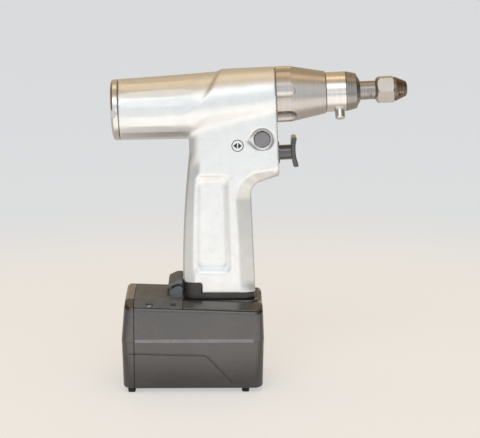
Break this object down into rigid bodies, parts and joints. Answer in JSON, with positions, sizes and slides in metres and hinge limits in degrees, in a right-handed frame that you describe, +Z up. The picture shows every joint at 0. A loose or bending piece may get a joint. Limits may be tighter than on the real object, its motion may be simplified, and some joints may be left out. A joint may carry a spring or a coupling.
{
  "type": "surgical power drill",
  "caption": "Pistol-grip battery surgical drill: long barrel with motor and planetary gear, fluted locking collar, quick chuck, trigger, cross button, slide-on battery that it stands on.",
  "frame": {"origin": "on the table under the middle of the drill, half way between the rear cap and the chuck tip, in the plane of symmetry", "axes": "+X towards the chuck, +Y to the left of the drill, +Z up; the drill axis rises 2.6 degrees towards the chuck"},
  "size_m": [0.184, 0.062, 0.2017],
  "materials": {
    "housing_satin": "satin, bead-blasted and sealed",
    "steel_satin": "turned, satin",
    "steel_polished": "polished",
    "steel_dark": "dark satin",
    "bronze_dark": "blackened",
    "steel_plain": "ground",
    "trigger_black": "gloss",
    "button_grey": "satin",
    "battery_black": "semi-gloss moulded",
    "deck_grey": "fine grain moulded",
    "shoe_black": "moulded",
    "copper": "enamelled",
    "magnet_dark": "coated",
    "board_green": "solder mask",
    "chip_black": "moulded",
    "cell_sleeve": "shrink sleeve",
    "contact_gold": "plated",
    "rubber_black": "moulded",
    "spring_steel": "drawn wire"
  },
  "bodies": {
    "handpiece": {"housing": "housing_satin", "rear_cap": "steel_polished", "rear_cap_seal": "rubber_black", "motor_can": "steel_plain", "motor_end_bell": "chip_black", "stator_core": "steel_dark", "stator_windings": "copper", "hall_board": "board_green", "motor_bearings": "steel_plain", "motor_leads": "rubber_black", "ring_gear": "steel_plain", "spindle_bearings": "steel_plain", "spindle_spacer": "steel_plain", "shaft_seal": "rubber_black", "nose_body": "steel_satin", "collar_spring": "spring_steel", "attachment_body": "steel_polished", "release_pin_spring": "spring_steel", "front_ring": "steel_dark", "chuck_bearings": "steel_plain", "trigger_bushing": "trigger_black", "trigger_spring": "spring_steel", "button_detent": "spring_steel", "controller_board": "board_green", "power_transistors": "chip_black", "capacitors": "cell_sleeve", "base_shoe": "shoe_black", "shoe_screws": "steel_plain", "contact_blades": "contact_gold"},
    "rotor": {"rotor_shaft": "steel_plain", "rotor_magnet": "magnet_dark", "sun_gear": "steel_plain"},
    "spindle": {"planet_carrier": "steel_plain", "output_spindle": "steel_plain", "chuck_shaft": "steel_satin", "chuck_cross_pin": "steel_polished", "chuck_jaw_nose": "bronze_dark", "chuck_spring": "spring_steel"},
    "planet_1": {"planet_gear_1": "steel_plain"},
    "planet_2": {"planet_gear_2": "steel_plain"},
    "planet_3": {"planet_gear_3": "steel_plain"},
    "chuck_collar_body": {"chuck_collar": "steel_satin"},
    "locking_collar_body": {"locking_collar": "steel_satin"},
    "release_pin_body": {"release_pin": "steel_polished"},
    "trigger_body": {"trigger": "trigger_black", "trigger_magnet": "magnet_dark"},
    "button_body": {"direction_button": "button_grey"},
    "battery": {"battery_case": "battery_black", "battery_rear_cover": "battery_black", "battery_deck": "deck_grey", "battery_collar": "battery_black", "battery_cells": "cell_sleeve", "cell_holders": "chip_black", "cell_tabs": "contact_gold", "battery_contacts": "contact_gold", "battery_feet": "rubber_black", "battery_screws": "steel_plain", "latch_pin": "steel_plain", "latch_spring": "spring_steel"},
    "latch": {"battery_latch": "deck_grey"}
  },
  "joints": [
    {"name": "spindle_spin", "type": "hinge", "parent": "handpiece", "child": "spindle", "pos_m": [0.01029, 0, 0.184], "axis": [0.999, 0, 0.0454], "continuous": true},
    {"name": "rotor_spin", "type": "hinge", "parent": "handpiece", "child": "rotor", "pos_m": [-0.04965, 0, 0.18128], "axis": [0.999, 0, 0.0454], "continuous": true},
    {"name": "planet_1_spin", "type": "hinge", "parent": "spindle", "child": "planet_1", "pos_m": [-0.01707, 0, 0.19117], "axis": [0.999, 0, 0.0454], "continuous": true},
    {"name": "planet_2_spin", "type": "hinge", "parent": "spindle", "child": "planet_2", "pos_m": [-0.0165, -0.00728, 0.17858], "axis": [0.999, 0, 0.0454], "continuous": true},
    {"name": "planet_3_spin", "type": "hinge", "parent": "spindle", "child": "planet_3", "pos_m": [-0.0165, 0.00728, 0.17858], "axis": [0.999, 0, 0.0454], "continuous": true},
    {"name": "chuck_twist", "type": "hinge", "parent": "spindle", "child": "chuck_collar_body", "pos_m": [0.08351, 0, 0.18732], "axis": [0.999, 0, 0.0454], "range_deg": [0, 50], "stiffness_Nm_per_rad": 0.12, "springref_deg": -20.05},
    {"name": "collar_turn", "type": "hinge", "parent": "handpiece", "child": "locking_collar_body", "pos_m": [0.01069, 0, 0.18402], "axis": [0.999, 0, 0.0454], "range_deg": [0, 30], "stiffness_Nm_per_rad": 0.3, "springref_deg": -28.65},
    {"name": "release_pin_press", "type": "slide", "parent": "handpiece", "child": "release_pin_body", "axis": [-0.0404, 0.454, 0.8901], "range_m": [0, 0.0022], "stiffness_N_per_m": 900, "springref_m": -0.002, "deforming": ["release_pin_spring"]},
    {"name": "trigger_pull", "type": "slide", "parent": "handpiece", "child": "trigger_body", "axis": [-0.999, 0, -0.0454], "range_m": [0, 0.006], "stiffness_N_per_m": 600, "springref_m": -0.004, "deforming": ["trigger_spring"]},
    {"name": "direction_shift", "type": "slide", "parent": "handpiece", "child": "button_body", "axis": [0, 1, 0], "range_m": [-0.0025, 0.0025]},
    {"name": "battery_slide", "type": "slide", "parent": "handpiece", "child": "battery", "axis": [-1, 0, 0], "range_m": [0, 0.045]},
    {"name": "latch_press", "type": "hinge", "parent": "battery", "child": "latch", "pos_m": [-0.05101, 0, 0.0622], "axis": [0, -1, 0], "range_deg": [0, 10], "stiffness_Nm_per_rad": 0.6, "springref_deg": -17.19, "deforming": ["latch_spring"]}
  ],
  "couplings": [
    {"joint": "rotor_spin", "follows": "spindle_spin", "ratio": 4},
    {"joint": "planet_1_spin", "follows": "spindle_spin", "ratio": -3},
    {"joint": "planet_2_spin", "follows": "spindle_spin", "ratio": -3},
    {"joint": "planet_3_spin", "follows": "spindle_spin", "ratio": -3}
  ]
}
